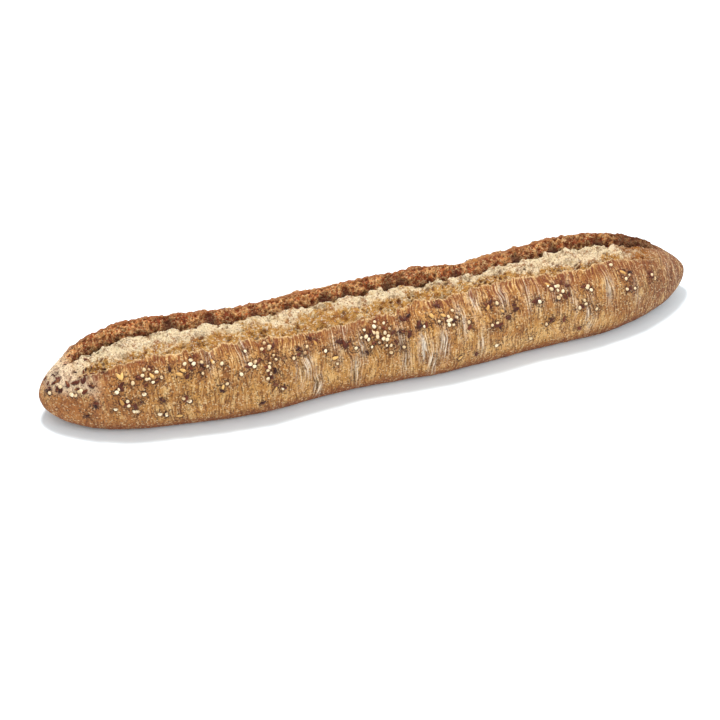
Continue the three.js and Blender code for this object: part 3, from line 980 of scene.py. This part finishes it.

# %% [markdown]
# ## The crumb
# The crumb dried where it tore: golden in the gutter by the lip and cream on the crest, which opened last.
# Its tone climbs with the crest, is broken up by a cloudy grain and is paler towards both tips, but browned
# nearest the right one. One mask both sank the pores and darkens them here with painted shade, so that colour
# and shape agree; a noise of its own in the material would miss them.

# %% Colours of the crumb
swirl = work("MULTIPLY", work("SUBTRACT", clouds, 0.5), 2.4)
crumb_tone = work("ADD", work("ADD", mask("crest"), swirl), mask("fresh"))
crumb_colour = blend(between(crumb_tone, 0.7, 1.05), colour("c8944c"), colour("f2d9b0"))
crumb_pore_shade = times(between(mask("pores"), 0.3, 0.8), between(mask("crest"), 1.5, 0.6))
crumb_colour = layered(crumb_colour, [
    # Browned at the right end, then dark and pale flecks.
    (mask("last"), "b07230", 0.8),
    (between(flecks, 0.54, 0.61), "a0622c", 0.75),
    (between(flecks, 0.47, 0.39), "f0daac", 0.65),
    # Grit and specks, and last painted shade in the pores.
    (between(grit, 0.76, 0.94), "fff4da", 0.5),
    (mask("last"), "96561f", 0.4),
    (between(grit, 0.2, 0.08), "8a5222", 0.5),
    (between(specks, 0.42, 0.35), "844c20", 0.6),
    (crumb_pore_shade, "6a3816", 0.75),
])
print("With the crumb the recipe has", len(tree.nodes), "steps")

# %% [markdown]
# ## The ear
# The ear is a thin flap, so it baked through: rusty brown, with paler walls between its pores. Painted
# shade darkens its pores and burst bubbles and makes the crevice at its foot nearly black. Last, the ear, its
# scorched edge and the pale torn lip are laid over the rest. Each could be a material of its own, but then
# hard seams would show where they meet.

# %% Colours of the ear, and the whole loaf
ear_colour = blend(between(flecks, 0.42, 0.56), colour("d8783a"), colour("fcb872"))
ear_colour = layered(ear_colour, [
    # Painted shade in the hollows between pale pillars, then grit and specks.
    (between(pillar_shade_grain, 0.5, 0.42), "8a361a", 0.7),
    (between(grit, 0.68, 0.84), "fbd69a", 0.75),
    (between(grit, 0.3, 0.12), "702c12", 0.6),
    (between(specks, 0.45, 0.36), "6a2a12", 0.75),
    # Painted shade in the pores, the burst bubbles and the crevice at the ear's foot, then the browner right
    # end.
    (between(mask("pores"), 0.4, 0.9), "86381a", 0.6),
    (mask("bubble"), "4e2210", 0.8),
    (mask("foot"), "2c1408", 0.85),
    (mask("last"), "4a240f", 0.75),
])
everything = blend(mask("crumb"), skin_colour, crumb_colour)
everything = blend(mask("ear"), everything, ear_colour)
everything = layered(everything, [
    (times(mask("scorch"), between(specks, 0.3, 0.5)), "904e22", 0.85),
    (mask("rim"), "8a4520", 0.6),
    (times(mask("last"), mask("scorch")), "532a12", 0.7),
    (times(mask("lip"), between(specks, 0.35, 0.55)), "f2cf98", 0.85),
])
tree.links.new(everything, shader.inputs["Base Color"])
print("The crust's recipe has", len(tree.nodes), "steps")

# %% [markdown]
# ## The crust's fine relief
# The mesh carries what is a few millimetres across. Below that, fibres, grains of flour and small pores are
# a bump in the material, its heights given in millimetres. They could be mesh too, but that would take
# millions of faces. Bread is dull, so the roughness stays high and only varies a little with the specks.

# %% Fine bump and roughness
torn_mask = work("MAXIMUM", mask("crumb"), mask("ear"))
skin_relief = work("ADD", times(fine_fibres, 1.3), times(specks, 1.2))
torn_relief = work("ADD", times(flecks, 2.6), work("ADD", times(specks, 2.8), times(grit, 0.15)))
fine_height = step("Mix", {0: torn_mask, 2: skin_relief, 3: torn_relief}, data_type="FLOAT").outputs[0]
bump = step("Bump", {"Strength": 1.0, "Distance": MM, "Height": fine_height})
tree.links.new(bump.outputs["Normal"], shader.inputs["Normal"])
dullness = step("MapRange", {"Value": specks, "To Min": 0.62, "To Max": 0.86}).outputs["Result"]
tree.links.new(dullness, shader.inputs["Roughness"])
shader.inputs["Specular IOR Level"].default_value = 0.3
loaf.data.materials.append(material)
print("The finished recipe has", len(tree.nodes), "steps")

# %% [markdown]
# ## Seeds that sit in the crust
# Each seed is a little mesh of its own, a ball drawn out to a blunt point for flax and nearly round for the
# pale ones, all a bit different in size and tone. Scattering copies of one seed would be lighter, but joined
# meshes can be measured and exported as they are.

# %% One seed's shape
SEED_ROUND = 12
SEED_RINGS = 9


def seed_ball(point_share, flat_share):
    """A unit seed along Y: a ball drawn to a point at one end and flatter underneath."""
    points = [(0, -1, 0)]
    for ring in range(1, SEED_RINGS):
        t = math.pi * ring / SEED_RINGS
        y = -math.cos(t)
        wide = math.sin(t) * (1 - point_share * y)
        for k in range(SEED_ROUND):
            a = 2 * math.pi * k / SEED_ROUND
            z = wide * math.sin(a)
            points.append((wide * math.cos(a), y, z * (flat_share if z < 0 else 1)))
    points.append((0, 1, 0))
    faces = [(0, 1 + (k + 1) % SEED_ROUND, 1 + k) for k in range(SEED_ROUND)]
    for ring in range(SEED_RINGS - 2):
        first = 1 + ring * SEED_ROUND
        for k in range(SEED_ROUND):
            a, b = first + k, first + (k + 1) % SEED_ROUND
            faces.append((a, b, b + SEED_ROUND, a + SEED_ROUND))
    top, last = len(points) - 1, 1 + (SEED_RINGS - 2) * SEED_ROUND
    faces += [(top, last + k, last + (k + 1) % SEED_ROUND) for k in range(SEED_ROUND)]
    return np.array(points), faces


# How far each kind is drawn to a point, and how flat it is underneath.
SEED_SHAPES = {"pale": seed_ball(0.12, 0.8), "brown": seed_ball(0.3, 0.7), "golden": seed_ball(0.28, 0.7)}
print("A seed has", len(SEED_SHAPES["pale"][1]), "faces")

# %% [markdown]
# ## Setting the seeds
# The seeds were pressed into the dough and baked in, so each is set on the nearest point of the finished
# crust, turned to its slope with a slight tilt, and sunk by about half. A physics run could drop them
# there, but they would lie on top. A search tree finds each nearest point quickly.

# %% Seeds set on the crust
# Least and greatest size of each kind as a share, how slender it is, how much deeper it may sink as a
# share of its thickness, and its tilt in radians.
SIZES = {"pale": (0.76, 1.0), "brown": (0.82, 1.05), "golden": (0.82, 1.05)}
SLENDER = {"pale": 1.0, "brown": 0.82, "golden": 0.85}
SUNK = (-0.05, 0.3)
TILT = 0.22
crust_tree = BVHTree.FromPolygons(
    [v.co / MM for v in loaf.data.vertices], [p.vertices for p in loaf.data.polygons]
)
seed_rng = np.random.default_rng(5)


def seed_matrix(kind, x, angle, turn, size):
    """Where a unit seed goes: on the crust, along the turn, with its size and a slight tilt."""
    spot, normal, *_ = crust_tree.find_nearest(Vector(spot_on_crust(x, angle)))
    axis = Vector((1, 0, 0)) - normal * normal.x
    axis.normalize()
    axis.rotate(Matrix.Rotation(turn, 3, normal))
    tilted = (normal + Vector(seed_rng.normal(0, TILT / 2, 3))).normalized()
    across = axis.cross(tilted).normalized()
    axis = tilted.cross(across)
    sizes = SEEDS[kind]
    scale = size * seed_rng.uniform(*SIZES[kind]) / 2
    half = [scale * sizes["width"] * SLENDER[kind], scale * sizes["length"], scale * sizes["thickness"]]
    sunk = seed_rng.uniform(*SUNK) * size**2
    centre = spot + normal * sizes["thickness"] * (sizes["proud"] - 0.5 - sunk)
    turned = Matrix((across, axis, tilted)).transposed() @ Matrix.Diagonal(half)
    return Matrix.Translation(centre) @ turned.to_4x4()


def inside_box(points):
    """A seed moved, where it has to be, so that none of it leaves the solid's box."""
    too_low = np.clip(BOX[0] - points.min(0), 0, None)
    too_high = np.clip(points.max(0) - BOX[1], 0, None)
    return points + too_low - too_high


def seed_piece(kind):
    """All seeds of a kind as one object, with a tone from 0 to 1 for each seed."""
    shape, shape_faces = SEED_SHAPES[kind]
    points, faces, tones = [], [], []
    for one_kind, *where_it_lies in places:
        if one_kind != kind:
            continue
        matrix = np.array(seed_matrix(kind, *where_it_lies))
        faces += [tuple(len(points) + v for v in face) for face in shape_faces]
        points += inside_box(shape @ matrix[:3, :3].T + matrix[:3, 3]).tolist()
        tones += [seed_rng.random()] * len(shape)
    mesh = bpy.data.meshes.new(kind + "_seeds")
    mesh.from_pydata((np.array(points) * MM).tolist(), [], faces)
    mesh.shade_smooth()
    mesh.attributes.new("tone", "FLOAT", "POINT").data.foreach_set("value", tones)
    piece = bpy.data.objects.new(kind + "_seeds", mesh)
    bpy.context.collection.objects.link(piece)
    return piece


seeds = {kind: seed_piece(kind) for kind in SEEDS}
for kind, piece in seeds.items():
    print(kind, "seeds:", len(piece.data.polygons), "faces")

# %% [markdown]
# ## The seeds' finish
# Flax seeds have a hard, slightly glossy shell; the pale ones are dull, and all are toasted in places. A
# material for each seed would be simple but slow, so each kind has one, which mixes two colours by the
# number that the seed was given.

# %% Seed materials
# The dark and the light tone of each kind, and its roughness.
SEED_COLOURS = {
    "pale": ("cfb184", "f0e0bf", 0.6),
    "brown": ("2c0f09", "66301c", 0.35),
    "golden": ("a87438", "e0b46e", 0.4),
}
for kind, (dark, light, dull) in SEED_COLOURS.items():
    material, shader = start(kind + " seed")
    tree = material.node_tree
    here = step("TexCoord", {}).outputs["Object"]
    mottle = grain(here, 1.2 * MM, 2)
    baked_over = between(grain(here, 3.4 * MM, 3), 0.56, 0.64)
    tone = blend(mask("tone"), colour(dark), colour(light))
    tone = blend(between(mottle, 0.5, 0.3), tone, colour(dark), 0.5)
    tone = blend(baked_over, tone, colour("8f5f34"), 0.7)
    tree.links.new(tone, shader.inputs["Base Color"])
    bump = step("Bump", {"Strength": 1.0, "Distance": 0.1 * MM, "Height": mottle})
    tree.links.new(bump.outputs["Normal"], shader.inputs["Normal"])
    shader.inputs["Roughness"].default_value = dull
    shader.inputs["Specular IOR Level"].default_value = 0.2
    seeds[kind].data.materials.append(material)
print("Each kind of seed has its own material")

# %% [markdown]
# ## The pieces and the model
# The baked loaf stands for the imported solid, which stays for collision. The loaf and its seeds all belong to
# the one body, because nothing on a baguette moves.

# %% Pieces
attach(loaf, "root")
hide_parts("loaf")
for kind, piece in seeds.items():
    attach(piece, "root")
print("Pieces:", loaf.name, *[piece.name for piece in seeds.values()])

# %% [markdown]
# ## The picture
# The loaf lies on a plain pale floor. A small soft light nearly overhead, a little behind it, models the
# crumb and leaves a short shadow in front, and a broad weak one near the camera opens up the shaded side. A
# sky texture could light it too, but a plain white room keeps the shadow clean.

# %% Floor and lights
FLOOR_COLOUR = (0.89, 0.96, 1, 1)
ROOM_LIGHT = 0.78
bpy.ops.mesh.primitive_plane_add(size=6)
floor = bpy.context.object
floor.name = "floor"
material, shader = start("pale floor")
shader.inputs["Base Color"].default_value = FLOOR_COLOUR
shader.inputs["Roughness"].default_value = 0.9
floor.data.materials.append(material)


def soft_light(name, where, size, watts):
    """A square light that looks at the loaf."""
    light = bpy.data.lights.new(name, "AREA")
    light.size, light.energy = size, watts
    lamp = bpy.data.objects.new(name, light)
    lamp.location = where
    lamp.rotation_euler = Vector(where).to_track_quat("Z", "Y").to_euler()
    bpy.context.collection.objects.link(lamp)
    return lamp


# Place and side in metres, and power in watts.
key = soft_light("key light", (-0.06, 0.29, 1.37), 0.3, 17.7)
fill = soft_light("fill light", (0.3, -1.3, 0.9), 1.2, 9.5)
world = bpy.data.worlds.new("studio")
bpy.context.scene.world = world
world.use_nodes = True
world.node_tree.nodes["Background"].inputs["Color"].default_value = (1, 1, 1, 1)
world.node_tree.nodes["Background"].inputs["Strength"].default_value = ROOM_LIGHT
print("Two soft lights and a white room")

# %% [markdown]
# ## The camera
# The camera looks down at the loaf from the front, a little from the left. It could follow the loaf with a
# constraint, but a target, two angles and a distance can be read and changed one by one. They were fitted to
# the loaf's outline. The Standard view leaves the colours as they are.

# %% Camera
TARGET = Vector((-27.5, -35.5 + SIDE_SHIFT, 27)) * MM
AZIMUTH, ELEVATION = math.radians(-19.7), math.radians(36)
DISTANCE, LENS = 1.0, 83
back = Vector((
    math.sin(AZIMUTH) * math.cos(ELEVATION),
    -math.cos(AZIMUTH) * math.cos(ELEVATION),
    math.sin(ELEVATION),
))
camera = bpy.data.objects.new("camera", bpy.data.cameras.new("camera"))
bpy.context.collection.objects.link(camera)
camera.location = TARGET + back * DISTANCE
camera.rotation_euler = back.to_track_quat("Z", "Y").to_euler()
camera.data.lens = LENS
bpy.context.scene.camera = camera
bpy.context.scene.view_settings.view_transform = "Standard"
print("The camera stands", DISTANCE, "m away, with a lens of", LENS, "mm")
